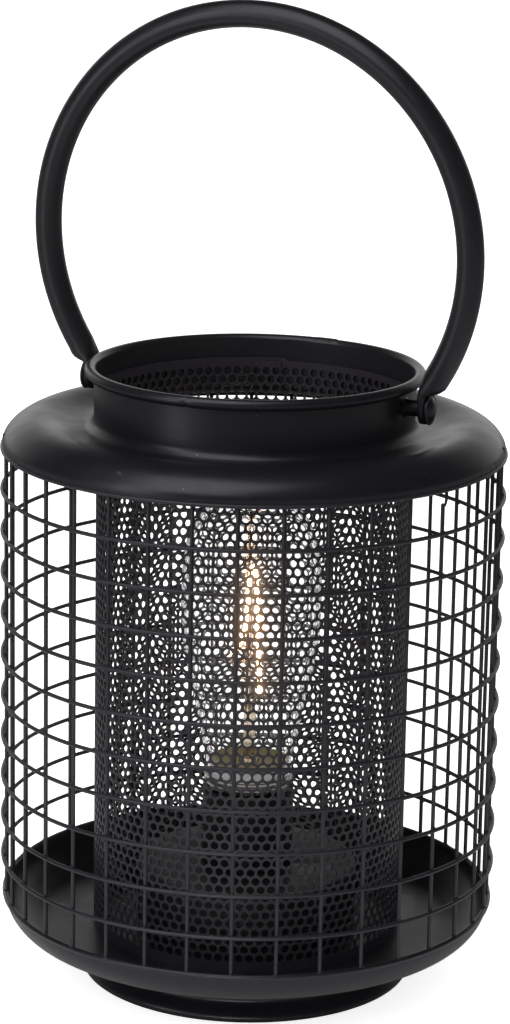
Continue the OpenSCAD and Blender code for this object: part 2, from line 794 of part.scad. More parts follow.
module bulb_core() {
  lid_t = 1.5;
  color([0.9, 0.9, 0.88])
    difference() {
      translate([0, 0, seat_z]) cylinder(r = core_r, h = plate_z - seat_z);
      translate([0, 0, seat_z - eps]) cylinder(r = seat_in_r - 0.5, h = plate_z - seat_z - lid_t);
      for (side = [-1, 1])
        translate([side * 1.5, 0, plate_z - lid_t - 1]) cylinder(r = lead_r + 0.1, h = lid_t + 2, $fn = 24);
    }
}

module gold_plate() {
  dish_r = neck_bore_r - 0.1;
  color([0.75, 0.6, 0.2])
    difference() {
      translate([0, 0, plate_z]) cylinder(r = dish_r, h = gold_t);
      translate([0, 0, plate_z - 1]) cylinder(r = stem_r, h = gold_t + 2);
    }
}

// The bulb's outline above its straight neck, for a wall whose faces lie t inside the outer one
function bulb_outline(t) = concat(
  [for (i = [0:14]) let (u = i / 14)
    [bulb_neck_r - t + (bulb_r - bulb_neck_r) * sin(90 * u), flare_z + bulb_flare_h * u]],
  [for (i = [1:16]) let (a = 90 * i / 16)
    [(bulb_r - t) * pow(cos(a), 0.8), wide_z + (bulb_top_h - t) * pow(sin(a), 0.8)]]
);

module bulb_glass() {
  bead_r = 0.9;
  bead_h = 2.6;
  outer = concat([[bulb_neck_r, seat_z]], bulb_outline(0));
  inner = concat([[neck_bore_r, seat_z]], bulb_outline(glass_t));
  color([0.85, 0.9, 0.95, 0.35]) {
    rotate_extrude($fn = 96)
      polygon(concat(outer, [for (i = [len(inner) - 1:-1:0]) inner[i]]));
    for (k = [1, 2]) hoop(bulb_neck_r, bead_r, holder_top_z + bead_h * k - 0.1);
  }
}

module bulb_stem() {
  foot_r1 = 4.5;
  foot_t = 2;
  color([0.8, 0.85, 0.85, 0.6])
    translate([0, 0, plate_z]) {
      cylinder(r = stem_r, h = gold_t + stem_h - stem_r);
      translate([0, 0, gold_t]) cylinder(r1 = foot_r1, r2 = stem_r, h = foot_t);
      translate([0, 0, gold_t + stem_h - stem_r]) sphere(r = stem_r);
    }
}

// Places its children above the gold plate, turned as the bulb was set in its holder
module in_bulb() {
  translate([0, 0, plate_z + gold_t]) rotate([0, 0, bulb_turn]) children();
}

module filament_leads() {
  root_h = stem_h - 5;
  color([0.7, 0.7, 0.7])
    in_bulb()
      for (tip = [filament_start, filament_end])
        bent_wire([[sign(tip[0]) * 1.2, 0, root_h], [sign(tip[0]) * 1.2, 0, stem_h], tip], support_r);
}

module filament_hook() {
  root_y = 0.6;
  color([0.7, 0.7, 0.7])
    in_bulb()
      bent_wire([[0, root_y, stem_h - 5], [0, root_y, stem_h + 4],
                 hook_at - [support_r, 0, filament_h / 15], hook_at], support_r);
}

// A smooth curve through the points of a path, n stretches to each gap
function spline_at(p, i, u) = let (
    last = len(p) - 1,
    a = p[max(i - 1, 0)], b = p[i], c = p[min(i + 1, last)], d = p[min(i + 2, last)]
  ) 0.5 * (2 * b + u * (c - a) + u * u * (2 * a - 5 * b + 4 * c - d) + u * u * u * (3 * b - a - 3 * c + d));
function spline(p, n) = concat(
  [for (i = [0:len(p) - 2], j = [0:n - 1]) spline_at(p, i, j / n)],
  [p[len(p) - 1]]
);

module led_filament() {
  color([1, 0.85, 0.45]) in_bulb() swept_tube(spline(filament_path, 3), filament_r, 8, [0.3, -1, 0.1]);
}

foot_ring();
tray();
cage_uprights();
cage_rings();
cap();
neck_rim();
perforated_sleeve();
pivot_bosses();
pivot_screws();
handle();
battery_case();
case_base();
case_screws();
battery_door();
battery_cells();
contact_springs();
contact_links();
contact_ends();
circuit_board();
driver_chip();
board_capacitor();
switch_body();
switch_slider();
red_leads();
black_leads();
lamp_holder();
holder_screws();
bulb_core();
gold_plate();
bulb_glass();
bulb_stem();
filament_leads();
filament_hook();
led_filament();
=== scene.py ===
import json
import math
import random

import bmesh
import bpy
from mathutils import Matrix, Vector
from mathutils.bvhtree import BVHTree


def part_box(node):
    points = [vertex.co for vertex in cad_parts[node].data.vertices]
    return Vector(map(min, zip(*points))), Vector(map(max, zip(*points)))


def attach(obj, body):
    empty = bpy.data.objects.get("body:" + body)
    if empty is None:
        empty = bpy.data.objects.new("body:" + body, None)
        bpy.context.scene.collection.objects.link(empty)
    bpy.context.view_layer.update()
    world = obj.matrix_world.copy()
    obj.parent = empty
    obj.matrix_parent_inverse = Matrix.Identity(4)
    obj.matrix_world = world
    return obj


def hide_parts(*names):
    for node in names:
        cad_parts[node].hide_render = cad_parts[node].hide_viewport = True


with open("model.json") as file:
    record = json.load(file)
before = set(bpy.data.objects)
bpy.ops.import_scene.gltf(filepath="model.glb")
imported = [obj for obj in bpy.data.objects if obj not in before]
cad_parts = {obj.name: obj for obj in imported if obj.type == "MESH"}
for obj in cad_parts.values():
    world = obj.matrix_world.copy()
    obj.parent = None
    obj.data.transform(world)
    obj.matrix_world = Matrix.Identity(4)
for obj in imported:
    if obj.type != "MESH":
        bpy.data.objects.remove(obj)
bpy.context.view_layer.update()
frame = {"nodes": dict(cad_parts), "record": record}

mm = 0.001
tau = 2 * math.pi


# The photograph's camera: metres, degrees and pixels
view = {"azimuth": 23.16, "distance": 1.4030, "height": 0.5652, "pitch": 14.145, "yaw": 0.037, "roll": 1.007,
        "focalPixels": 3264.5, "imageW": 510, "imageH": 1024, "sensorW": 36}


# A place given as right, away and up for the photograph's camera
def turned(x, y, z):
    a = math.radians(view["azimuth"])
    return (x * math.cos(a) - y * math.sin(a), x * math.sin(a) + y * math.cos(a), z)


def viewMatrix():
    turn = (Matrix.Rotation(math.radians(view["azimuth"] - view["yaw"]), 4, "Z")
            @ Matrix.Rotation(math.radians(90 - view["pitch"]), 4, "X")
            @ Matrix.Rotation(math.radians(view["roll"]), 4, "Z"))
    return Matrix.Translation(turned(0, -view["distance"], view["height"])) @ turn


# Outlines are in millimetres and meshes in metres
def smoothShade(mesh, sharpAngle):
    for polygon in mesh.polygons:
        polygon.use_smooth = True
    mesh.set_sharp_from_angle(angle=math.radians(sharpAngle))


def makePiece(name, verts, faces, slot, body, replaced=(), sharpAngle=35, finish=None):
    mesh = bpy.data.meshes.new(name)
    mesh.from_pydata([tuple(v) for v in verts], [], faces)
    mesh.validate()
    mesh.transform(Matrix.Scale(mm, 4))
    smoothShade(mesh, sharpAngle)
    piece = bpy.data.objects.new(name, mesh)
    bpy.context.collection.objects.link(piece)
    mesh.materials.append(materials[finish or slot])
    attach(piece, body)
    if replaced:
        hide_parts(*replaced)
    return piece


def arcPoints(centre, radii, start, end, steps=16):
    angles = [math.radians(start + (end - start) * i / steps) for i in range(steps + 1)]
    return [(centre[0] + radii[0] * math.cos(a), centre[1] + radii[1] * math.sin(a)) for a in angles]


def offsetPath(path, distance):
    moved = []
    for i, point in enumerate(path):
        before, after = path[max(i - 1, 0)], path[min(i + 1, len(path) - 1)]
        dx, dy = after[0] - before[0], after[1] - before[1]
        size = math.hypot(dx, dy)
        moved.append((point[0] - distance * dy / size, point[1] + distance * dx / size))
    return moved


def sheetOutline(path, thickness):
    return path + offsetPath(path, thickness)[::-1]


def spin(outline, segments, closed=True):
    verts = [(r * math.cos(a), r * math.sin(a), z)
             for a in (tau * s / segments for s in range(segments)) for r, z in outline]
    count = len(outline)
    rows = count if closed else count - 1
    faces = []
    for s in range(segments):
        here, there = s * count, (s + 1) % segments * count
        for i in range(rows):
            j = (i + 1) % count
            faces.append((here + i, there + i, there + j, here + j))
    return verts, faces


def ringOutline(centre, radius, steps=16):
    return arcPoints(centre, (radius, radius), 0, 360 * (steps - 1) / steps, steps - 1)


def sweep(points, radii, sides, side):
    verts, faces = [], []
    count = len(points)
    reference = Vector(side)
    for i, point in enumerate(points):
        along = (Vector(points[min(i + 1, count - 1)]) - Vector(points[max(i - 1, 0)])).normalized()
        across = along.cross(reference).normalized()
        up = along.cross(across)
        radius = radii[i] if hasattr(radii, "__len__") else radii
        for k in range(sides):
            a = tau * k / sides
            verts.append(Vector(point) + radius * (math.cos(a) * across + math.sin(a) * up))
    for i in range(count - 1):
        for k in range(sides):
            n = (k + 1) % sides
            faces.append((i * sides + k, i * sides + n, (i + 1) * sides + n, (i + 1) * sides + k))
    faces.append(tuple(range(sides))[::-1])
    faces.append(tuple((count - 1) * sides + k for k in range(sides)))
    return verts, faces


def joined(parts):
    verts, faces = [], []
    for partVerts, partFaces in parts:
        base = len(verts)
        verts.extend(partVerts)
        faces.extend(tuple(base + i for i in face) for face in partFaces)
    return verts, faces


def moved(part, matrix):
    return [matrix @ Vector(v) for v in part[0]], part[1]


def smoothPath(points, steps):
    result = []
    last = len(points) - 1
    for i in range(last):
        a, b = Vector(points[max(i - 1, 0)]), Vector(points[i])
        c, d = Vector(points[i + 1]), Vector(points[min(i + 2, last)])
        for j in range(steps):
            u = j / steps
            result.append(0.5 * (2 * b + u * (c - a) + u * u * (2 * a - 5 * b + 4 * c - d)
                                 + u ** 3 * (3 * b - a - 3 * c + d)))
    return result + [Vector(points[last])]


class Tree:
    def __init__(self, tree):
        self.tree = tree

    def node(self, kind, inputs=None, **options):
        node = self.tree.nodes.new(kind)
        for key, value in options.items():
            setattr(node, key, value)
        for key, value in (inputs or {}).items():
            if isinstance(value, bpy.types.NodeSocket):
                self.tree.links.new(value, node.inputs[key])
            else:
                node.inputs[key].default_value = value
        return node

    def math(self, operation, a, b=0.0):
        return self.node("ShaderNodeMath", {0: a, 1: b}, operation=operation).outputs[0]

    def scaled(self, value, factor, offset):
        inputs = {0: value, 1: factor, 2: offset}
        return self.node("ShaderNodeMath", inputs, operation="MULTIPLY_ADD").outputs[0]

    def shade(self, colour, factor):
        grey = self.node("ShaderNodeCombineXYZ", {"X": factor, "Y": factor, "Z": factor}).outputs[0]
        return self.node("ShaderNodeVectorMath", {0: colour, 1: grey}, operation="MULTIPLY").outputs[0]

    def bump(self, strength, distance, height):
        inputs = {"Strength": strength, "Distance": distance, "Height": height}
        return self.node("ShaderNodeBump", inputs).outputs[0]

    def ramp(self, factor, stops):
        node = self.node("ShaderNodeValToRGB", {"Fac": factor})
        elements = node.color_ramp.elements
        while len(elements) < len(stops):
            elements.new(0.5)
        for element, (place, value) in zip(elements, stops):
            element.position = place
            element.color = (value, value, value, 1)
        return node.outputs["Color"]

    def noise(self, scale, detail=2.0, roughness=0.5, place=None):
        inputs = {"Scale": scale, "Detail": detail, "Roughness": roughness}
        if place:
            inputs["Vector"] = place
        return self.node("ShaderNodeTexNoise", inputs).outputs["Fac"]


surfaceSockets = {"Colour": "NodeSocketColor", "Roughness": "NodeSocketFloat", "Normal": "NodeSocketVector"}


def emptyTree(owner):
    owner.use_nodes = True
    owner.node_tree.nodes.clear()
    return Tree(owner.node_tree)


def makeGroup(name, inputs):
    tree = bpy.data.node_groups.new(name, "ShaderNodeTree")
    for socketName, kind, value in inputs:
        socket = tree.interface.new_socket(socketName, in_out="INPUT", socket_type=kind)
        socket.default_value = value
    for socketName, kind in surfaceSockets.items():
        tree.interface.new_socket(socketName, in_out="OUTPUT", socket_type=kind)
    t = Tree(tree)
    return t, t.node("NodeGroupInput"), t.node("NodeGroupOutput")


def closeGroup(t, result, colour, rough, bump):
    for socketName, value in zip(surfaceSockets, (colour, rough, bump)):
        t.tree.links.new(value, result.inputs[socketName])
    return t.tree


# Powder coat: a fine pebbled skin, cloudy patches of gloss and a little settled dust
def powderCoatGroup():
    t, given, result = makeGroup(
        "powderCoat",
        [("Colour", "NodeSocketColor", (0.02, 0.02, 0.022, 1)), ("Roughness", "NodeSocketFloat", 0.4),
         ("Pebble", "NodeSocketFloat", 900.0), ("Depth", "NodeSocketFloat", 0.1),
         ("Dust", "NodeSocketFloat", 0.3)])
    place = t.node("ShaderNodeTexCoord").outputs["Object"]
    cloud = t.noise(28.0, 3.0, 0.6, place)
    smear = t.noise(90.0, 4.0, 0.65, place)
    pebble = t.noise(given.outputs["Pebble"], 2.0, 0.5, place)
    swell = t.noise(160.0, 1.0, 0.4, place)
    colour = t.shade(given.outputs["Colour"], t.scaled(cloud, 0.5, 0.75))
    specks = t.node("ShaderNodeTexVoronoi", {"Vector": place, "Scale": 210.0, "Randomness": 1.0})
    chance = t.node("ShaderNodeSeparateColor", {"Color": specks.outputs["Color"]}).outputs[0]
    near = t.ramp(specks.outputs["Distance"], [(0.0, 1.0), (0.09, 0.0)])
    rare = t.ramp(chance, [(0.93, 0.0), (0.97, 1.0)])
    dust = t.math("MULTIPLY", t.math("MULTIPLY", near, rare), given.outputs["Dust"])
    dusty = t.node("ShaderNodeMix", {0: dust, 6: colour, 7: (0.32, 0.32, 0.31, 1)}, data_type="RGBA")
    spread = t.scaled(t.math("ADD", cloud, smear), 0.16, -0.16)
    rough = t.math("ADD", t.math("ADD", given.outputs["Roughness"], spread), t.math("MULTIPLY", dust, 0.3))
    height = t.math("ADD", t.math("MULTIPLY", pebble, 0.35), t.math("MULTIPLY", swell, 0.65))
    bump = t.bump(given.outputs["Depth"], 0.0004, height)
    return closeGroup(t, result, dusty.outputs[2], rough, bump)


# Moulded plastic or soft rubber: a fine even grain and faint flow marks
def mouldedGroup():
    t, given, result = makeGroup(
        "moulded",
        [("Colour", "NodeSocketColor", (0.02, 0.02, 0.02, 1)), ("Roughness", "NodeSocketFloat", 0.5),
         ("Grain", "NodeSocketFloat", 1800.0), ("Depth", "NodeSocketFloat", 0.1)])
    place = t.node("ShaderNodeTexCoord").outputs["Object"]
    flow = t.noise(35.0, 3.0, 0.55, place)
    grain = t.noise(given.outputs["Grain"], 1.0, 0.5, place)
    colour = t.shade(given.outputs["Colour"], t.scaled(flow, 0.3, 0.85))
    spread = t.scaled(flow, 0.14, -0.07)
    rough = t.math("ADD", given.outputs["Roughness"], spread)
    bump = t.bump(given.outputs["Depth"], 0.0002, grain)
    return closeGroup(t, result, colour, rough, bump)


# Bare metal: fine drawn lines along Z and faint stains
def bareMetalGroup():
    t, given, result = makeGroup(
        "bareMetal",
        [("Colour", "NodeSocketColor", (0.6, 0.6, 0.6, 1)), ("Roughness", "NodeSocketFloat", 0.3)])
    place = t.node("ShaderNodeTexCoord").outputs["Object"]
    stretched = t.node("ShaderNodeMapping", {"Vector": place, "Scale": (1.0, 1.0, 0.06)}).outputs[0]
    lines = t.noise(2600.0, 2.0, 0.6, stretched)
    stain = t.noise(120.0, 3.0, 0.6, place)
    colour = t.shade(given.outputs["Colour"], t.scaled(stain, 0.3, 0.85))
    spread = t.scaled(t.math("ADD", lines, stain), 0.15, -0.15)
    rough = t.math("ADD", given.outputs["Roughness"], spread)
    bump = t.bump(0.12, 0.0001, lines)
    return closeGroup(t, result, colour, rough, bump)


groups = {"powderCoat": powderCoatGroup(), "moulded": mouldedGroup(), "bareMetal": bareMetalGroup()}


def makeMaterial(name, group, finish, shader):
    material = bpy.data.materials.new(name)
    t = emptyTree(material)
    surface = t.node("ShaderNodeGroup", finish, node_tree=groups[group])
    principled = t.node("ShaderNodeBsdfPrincipled", {
        "Base Color": surface.outputs["Colour"], "Roughness": surface.outputs["Roughness"],
        "Normal": surface.outputs["Normal"], **shader})
    t.node("ShaderNodeOutputMaterial", {"Surface": principled.outputs[0]})
    return material


# Rays that a surface throws back, without those that glass lets through
def mirrored(t):
    rays = t.node("ShaderNodeLightPath").outputs
    return t.math("MULTIPLY", rays["Is Glossy Ray"], t.math("SUBTRACT", 1.0, rays["Is Transmission Ray"]))


# Clear glass that lets light and shadow rays straight through
def makeGlass(name, colour, roughness, ior):
    material = bpy.data.materials.new(name)
    t = emptyTree(material)
    place = t.node("ShaderNodeTexCoord").outputs["Object"]
    ripple = t.noise(60.0, 1.0, 0.4, place)
    bump = t.bump(0.05, 0.0006, ripple)
    smudge = t.noise(45.0, 4.0, 0.6, place)
    rough = t.scaled(smudge, 0.04, roughness)
    principled = t.node("ShaderNodeBsdfPrincipled", {
        "Base Color": colour, "Roughness": rough, "IOR": ior, "Transmission Weight": 1.0,
        "Normal": bump})
    clear = t.node("ShaderNodeBsdfTransparent", {"Color": (0.93, 0.95, 0.95, 1)})
    isShadow = t.node("ShaderNodeLightPath").outputs["Is Shadow Ray"]
    mix = t.node("ShaderNodeMixShader", {0: isShadow, 1: principled.outputs[0], 2: clear.outputs[0]})
    t.node("ShaderNodeOutputMaterial", {"Surface": mix.outputs[0]})
    return material


# The filament's soft coating, which glows a little unevenly
def makeGlow(name, colour, strength):
    material = bpy.data.materials.new(name)
    t = emptyTree(material)
    place = t.node("ShaderNodeTexCoord").outputs["Object"]
    uneven = t.noise(900.0, 1.0, 0.4, place)
    grain = t.scaled(uneven, 0.5 * strength, 0.75 * strength)
    # Its mirror images in the bulb are kept faint, as in the photograph
    power = t.math("MULTIPLY", grain, t.scaled(mirrored(t), -0.93, 1.0))
    principled = t.node("ShaderNodeBsdfPrincipled", {
        "Base Color": (0.9, 0.6, 0.25, 1), "Roughness": 0.5,
        "Emission Color": colour, "Emission Strength": power})
    t.node("ShaderNodeOutputMaterial", {"Surface": principled.outputs[0]})
    return material


# Chips and specks in the cap's coat: the pixel where each is in the photograph, its radius and its lightness
chips = {"leftLarge": ((118.5, 472.5), 0.85, 0.025), "leftLargeEdge": ((120.5, 474), 0.45, 0.05),
         "shoulderDark": ((154.5, 488), 0.5, 0.001), "shoulderPale": ((183, 489.5), 0.3, 0.12),
         "leftSmall": ((141, 469), 0.3, 0.06), "rightUpper": ((425, 462), 0.3, 0.035),
         "rightUpperEnd": ((430, 462), 0.3, 0.035), "rightRowStart": ((416, 473), 0.35, 0.03),
         "rightRowMiddle": ((421, 473), 0.3, 0.03), "rightRowEnd": ((425, 473), 0.4, 0.04),
         "dishFar": ((438, 427), 0.5, 0.001), "dishMiddle": ((435, 443), 0.45, 0.001),
         "dishNear": ((423, 445), 0.4, 0.001), "neckDark": ((192, 454), 0.3, 0.001),
         "neckPale": ((197, 455), 0.35, 0.12), "neckRight": ((216, 458), 0.3, 0.001)}
chipRagged = {"scale": 1600.0, "reach": 0.0012}


# The place on a mesh that the photograph's camera sees at a pixel
def seenAt(surface, pixel):
    camera = viewMatrix()
    right = (pixel[0] - view["imageW"] / 2) / view["focalPixels"]
    up = (view["imageH"] / 2 - pixel[1]) / view["focalPixels"]
    return surface.ray_cast(camera.translation, camera.to_3x3() @ Vector((right, up, -1)).normalized())[0]


def addChips(material, mesh):
    surface = BVHTree.FromPolygons([v.co for v in mesh.vertices], [p.vertices for p in mesh.polygons])
    reach = Vector([chipRagged["reach"]] * 3)
    t = Tree(material.node_tree)
    principled = next(n for n in t.tree.nodes if n.type == "BSDF_PRINCIPLED")
    colour = principled.inputs["Base Color"].links[0].from_socket
    place = t.node("ShaderNodeTexCoord").outputs["Object"]
    ragged = t.node("ShaderNodeTexNoise", {"Vector": place, "Scale": chipRagged["scale"], "Detail": 1.0})
    shifted = t.node("ShaderNodeVectorMath", {0: ragged.outputs["Color"], 1: reach, 2: place},
                     operation="MULTIPLY_ADD").outputs[0]
    for pixel, size, tone in chips.values():
        centre = seenAt(surface, pixel) + reach / 2
        gap = t.node("ShaderNodeVectorMath", {0: shifted, 1: centre}, operation="DISTANCE").outputs["Value"]
        inside = t.math("LESS_THAN", gap, size * mm)
        chipped = t.node("ShaderNodeMix", {0: inside, 6: colour, 7: (tone, tone, tone, 1)}, data_type="RGBA")
        colour = chipped.outputs[2]
    t.tree.links.new(colour, principled.inputs["Base Color"])


def coat(name, colour, roughness, pebble, depth, dust):
    finish = {"Colour": (*colour, 1), "Roughness": roughness, "Pebble": pebble, "Depth": depth, "Dust": dust}
    shader = {"Specular IOR Level": 0.5, "Specular Tint": (0.94, 0.92, 1.0, 1)}
    return makeMaterial(name, "powderCoat", finish, shader)


def plastic(name, colour, roughness, grain=1800.0, depth=0.1, shader=None):
    finish = {"Colour": (*colour, 1), "Roughness": roughness, "Grain": grain, "Depth": depth}
    return makeMaterial(name, "moulded", finish, shader or {})


def metal(name, colour, roughness):
    finish = {"Colour": (*colour, 1), "Roughness": roughness}
    return makeMaterial(name, "bareMetal", finish, {"Metallic": 1.0})


materials = {
    "black_coat": coat("blackCoat", (0.0062, 0.0057, 0.0072), 0.34, 1100.0, 0.16, 0.35),
    "black_wire": coat("blackWire", (0.0105, 0.0097, 0.0125), 0.4, 1500.0, 0.12, 0.1),
    "cap_coat": coat("capCoat", (0.0062, 0.0057, 0.0072), 0.34, 1100.0, 0.16, 0.35),
    # The sleeve has the same black coat as the rest; its lighter colour is painted light, making up for the
    # dim light inside the cage
    "sleeve_coat_painted_light": coat("sleeveCoatPaintedLight", (0.0145, 0.013, 0.0168), 0.42, 1100.0, 0.16, 0.1),
    "case_plastic": plastic("casePlastic", (0.0085, 0.0085, 0.0095), 0.45),
    "holder_plastic": plastic("holderPlastic", (0.003, 0.003, 0.0034), 0.45,
                              shader={"Specular IOR Level": 0.3}),
    "switch_plastic": plastic("switchPlastic", (0.04, 0.04, 0.04), 0.35, 2400.0, 0.05),
    "white_plastic": plastic("whitePlastic", (0.47, 0.46, 0.455), 0.3, 2400.0, 0.05),
    "screw_steel": metal("screwSteel", (0.55, 0.56, 0.58), 0.3),
    "contact_metal": metal("contactMetal", (0.72, 0.7, 0.66), 0.22),
    "bulb_wire": metal("bulbWire", (0.35, 0.28, 0.2), 0.35),
    "gold_metal": metal("goldMetal", (0.2, 0.15, 0.02), 0.32),
    "clear_glass": makeGlass("clearGlass", (0.955, 0.96, 0.955, 1), 0.0, 1.46),
    # The glass beads get a pale colour as a painted highlight, for the bright lines where light comes
    # through them
    "bead_glass_painted_highlight": plastic("beadGlassPaintedHighlight", (0.75, 0.74, 0.7), 0.12, 900.0, 0.02, {"Transmission Weight": 0.5}),
    "stem_glass": makeGlass("stemGlass", (0.75, 0.62, 0.45, 1), 0.08, 1.46),
    "filament_glow": makeGlow("filamentGlow", (1.0, 0.6, 0.33, 1), 15.0),
    "board_green": plastic("boardGreen", (0.03, 0.17, 0.07), 0.35, 900.0, 0.05),
    "chip_black": plastic("chipBlack", (0.02, 0.02, 0.02), 0.5),
    "capacitor_sleeve": plastic("capacitorSleeve", (0.02, 0.03, 0.09), 0.3),
    "cell_jacket": plastic("cellJacket", (0.06, 0.06, 0.065), 0.25, 900.0, 0.04, {"Coat Weight": 0.4}),
    "red_insulation": plastic("redInsulation", (0.45, 0.02, 0.02), 0.4),
    "black_insulation": plastic("blackInsulation", (0.015, 0.015, 0.015), 0.4),
}

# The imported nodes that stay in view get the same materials
for part in frame["record"]["subparts"]:
    node = frame["nodes"][part["node"]]
    node.data.materials.clear()
    node.data.materials.append(materials[part["material_slot"]])
print("materials done")


# Edges of moulded and cut pieces are never sharp, so these are copied with their edges rounded off
def roundedCopy(nodeName, name, width, steps=2):
    source = frame["nodes"][nodeName]
    mesh = source.data.copy()
    shape = bmesh.new()
    shape.from_mesh(mesh)
    bmesh.ops.remove_doubles(shape, verts=shape.verts, dist=1e-6)
    bmesh.ops.dissolve_limit(shape, angle_limit=math.radians(1), verts=shape.verts, edges=shape.edges)
    sharp = [e for e in shape.edges if len(e.link_faces) == 2 and e.calc_face_angle(0) > math.radians(40)]
    bmesh.ops.bevel(shape, geom=sharp, offset=width * mm, offset_type="OFFSET", segments=steps, profile=0.5,
                    affect="EDGES", clamp_overlap=True)
    shape.to_mesh(mesh)
    shape.free()
    smoothShade(mesh, 30)
    piece = bpy.data.objects.new(name, mesh)
    bpy.context.collection.objects.link(piece)
    row = next(part for part in frame["record"]["subparts"] if part["node"] == nodeName)
    mesh.materials.clear()
    mesh.materials.append(materials[row["material_slot"]])
    return piece, row["material_slot"]


rounded = {"battery_door": ("batteryDoor", "door", 0.25), "switch_slider": ("switchSlider", "slider", 0.15),
           "case_screws": ("caseScrews", "lamp", 0.15), "case_base": ("caseBase", "lamp", 0.2),
           "battery_case": ("batteryCase", "lamp", 0.2), "circuit_board": ("circuitBoard", "lamp", 0.1),
           "driver_chip": ("driverChip", "lamp", 0.1), "battery_cells": ("batteryCells", "lamp", 0.4)}
for nodeName, (name, body, width) in rounded.items():
    piece, slot = roundedCopy(nodeName, name, width)
    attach(piece, body)
    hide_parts(nodeName)


# Shared sizes in millimetres, read off the frame where a node has them
def boxMm(name):
    low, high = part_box(name)
    return [v / mm for v in low], [v / mm for v in high]


trayLow, trayHigh = boxMm("tray")
ringLow, ringHigh = boxMm("cage_rings")
uprightLow, uprightHigh = boxMm("cage_uprights")
rimLow, rimHigh = boxMm("neck_rim")
sleeveLow, sleeveHigh = boxMm("perforated_sleeve")
capLow, capHigh = boxMm("cap")
holderLow, holderHigh = boxMm("lamp_holder")
glassLow, glassHigh = boxMm("bulb_glass")
pivotLow, pivotHigh = boxMm("pivot_screws")

wireR = 0.9
cageR = uprightHigh[0] - wireR
ringR = min(ringHigh[0], -ringLow[0], ringHigh[1], -ringLow[1]) - wireR
rimTubeR = (rimHigh[2] - rimLow[2]) / 2
rimZ = (rimHigh[2] + rimLow[2]) / 2
rimR = rimHigh[0] - rimTubeR
neckR = rimR - rimTubeR + 0.8
lipTubeR = 1.25
lipR = trayHigh[0] - lipTubeR
lipZ = trayHigh[2] - lipTubeR
pivotZ = (pivotLow[2] + pivotHigh[2]) / 2


foot = {"outerR": 74.3, "neckR": 68.5, "edgeH": 1.6, "flareH": 6.5, "bendR": 2.0, "flangeR": 60.0,
        "sheet": 1.0}


def buildFoot():
    f = foot
    top = trayLow[2]
    flare = f["outerR"] - f["neckR"]
    path = arcPoints((f["outerR"] - 0.5, 0.5), (0.5, 0.5), -90, 0, 6) + [(f["outerR"], f["edgeH"])]
    for i in range(1, 25):
        u = i / 24
        path.append((f["neckR"] + flare * (1 + math.cos(math.pi * u)) / 2, f["edgeH"] + f["flareH"] * u))
    path += arcPoints((f["neckR"] - f["bendR"], top - f["bendR"]), (f["bendR"], f["bendR"]), 0, 90, 8)
    path.append((f["flangeR"], top))
    verts, faces = spin(sheetOutline(path, f["sheet"]), 192)
    makePiece("footRing", verts, faces, "black_coat", "lamp", ["foot_ring"])


tray = {"wallW": 16.5, "sheet": 1.0, "holeR": 46.6}


def buildTray():
    cornerR = lipR - tray["wallW"]
    bottom = trayLow[2]
    outer = [(tray["holeR"], bottom), (60, bottom), (75, bottom), (cornerR - 6, bottom)]
    outer += arcPoints((cornerR, lipZ), (lipR - cornerR, lipZ - bottom), -90, 0, 28)
    sheet = spin(sheetOutline(outer, tray["sheet"]), 256)
    lip = spin(ringOutline((lipR, lipZ), lipTubeR, 18), 256)
    makePiece("trayDish", *joined([sheet, lip]), "black_coat", "lamp", ["tray"])


cap = {"sheet": 0.8, "skirtH": 1.5, "crestR": 96.0, "crestH": 20.55, "power": 1.15, "dish": 4.2,
       "filletR": 4.5}


def buildCap():
    c = cap
    skirtR = capHigh[0]
    edge = capLow[2]
    crestZ = rimZ - c["crestH"]
    skirtTop = edge + c["skirtH"]
    path = [(skirtR, edge)]
    for i in range(37):
        turn = math.pi / 2 * i / 36
        path.append((c["crestR"] + (skirtR - c["crestR"]) * max(math.cos(turn), 0) ** c["power"],
                     skirtTop + (crestZ - skirtTop) * math.sin(turn) ** c["power"]))
    dishEnd = neckR + c["filletR"]
    dishZ = crestZ - c["dish"]
    for i in range(1, 25):
        u = i / 24
        path.append((c["crestR"] - (c["crestR"] - dishEnd) * u,
                     crestZ - c["dish"] * (1 - math.cos(math.pi * u)) / 2))
    path += arcPoints((dishEnd, dishZ + c["filletR"]), (c["filletR"], c["filletR"]), 270, 180, 16)[1:]
    path.append((neckR, rimZ))
    shell = spin(sheetOutline(path, c["sheet"]), 256)
    piece = makePiece("capShell", *shell, "black_coat", "lamp", ["cap"], finish="cap_coat")
    addChips(materials["cap_coat"], piece.data)


rim = {"segments": 360, "sides": 24, "lapStart": 82, "lapEnd": 91, "lapFade": 34, "thin": 0.32,
       "overThin": 0.12, "notch": -90, "notchW": 1.1, "notchDepth": 0.6, "notchTurn": 0.6}


# The rim is rolled round a wire, whose ends lap at the back; its bead closes with a small notch at the front
def buildRim():
    f = rim
    verts, faces = [], []
    for i in range(f["segments"]):
        angle = 360 * i / f["segments"]
        below = (f["lapStart"] - angle) % 360
        radius = rimTubeR - (f["thin"] * (1 - below / f["lapFade"]) if below < f["lapFade"] else 0)
        over = (angle - f["lapEnd"]) % 360
        radius -= f["overThin"] * (1 - over / f["lapFade"]) if over < f["lapFade"] else 0
        near = abs((angle - f["notch"] + 180) % 360 - 180) / f["notchW"]
        a = math.radians(angle)
        for k in range(f["sides"]):
            turn = tau * k / f["sides"]
            dent = f["notchDepth"] * max(0, 1 - near) * max(0, math.cos(turn + f["notchTurn"]))
            size = radius - dent
            reach = rimR + size * math.cos(turn)
            verts.append((reach * math.cos(a), reach * math.sin(a), rimZ + size * math.sin(turn)))
    count = f["sides"]
    for i in range(f["segments"]):
        here, there = i * count, (i + 1) % f["segments"] * count
        for k in range(count):
            n = (k + 1) % count
            faces.append((here + k, there + k, there + n, here + n))
    makePiece("neckRim", verts, faces, "black_coat", "lamp", ["neck_rim"])


buildFoot()
buildTray()
buildCap()
buildRim()
print("sheet metal done")


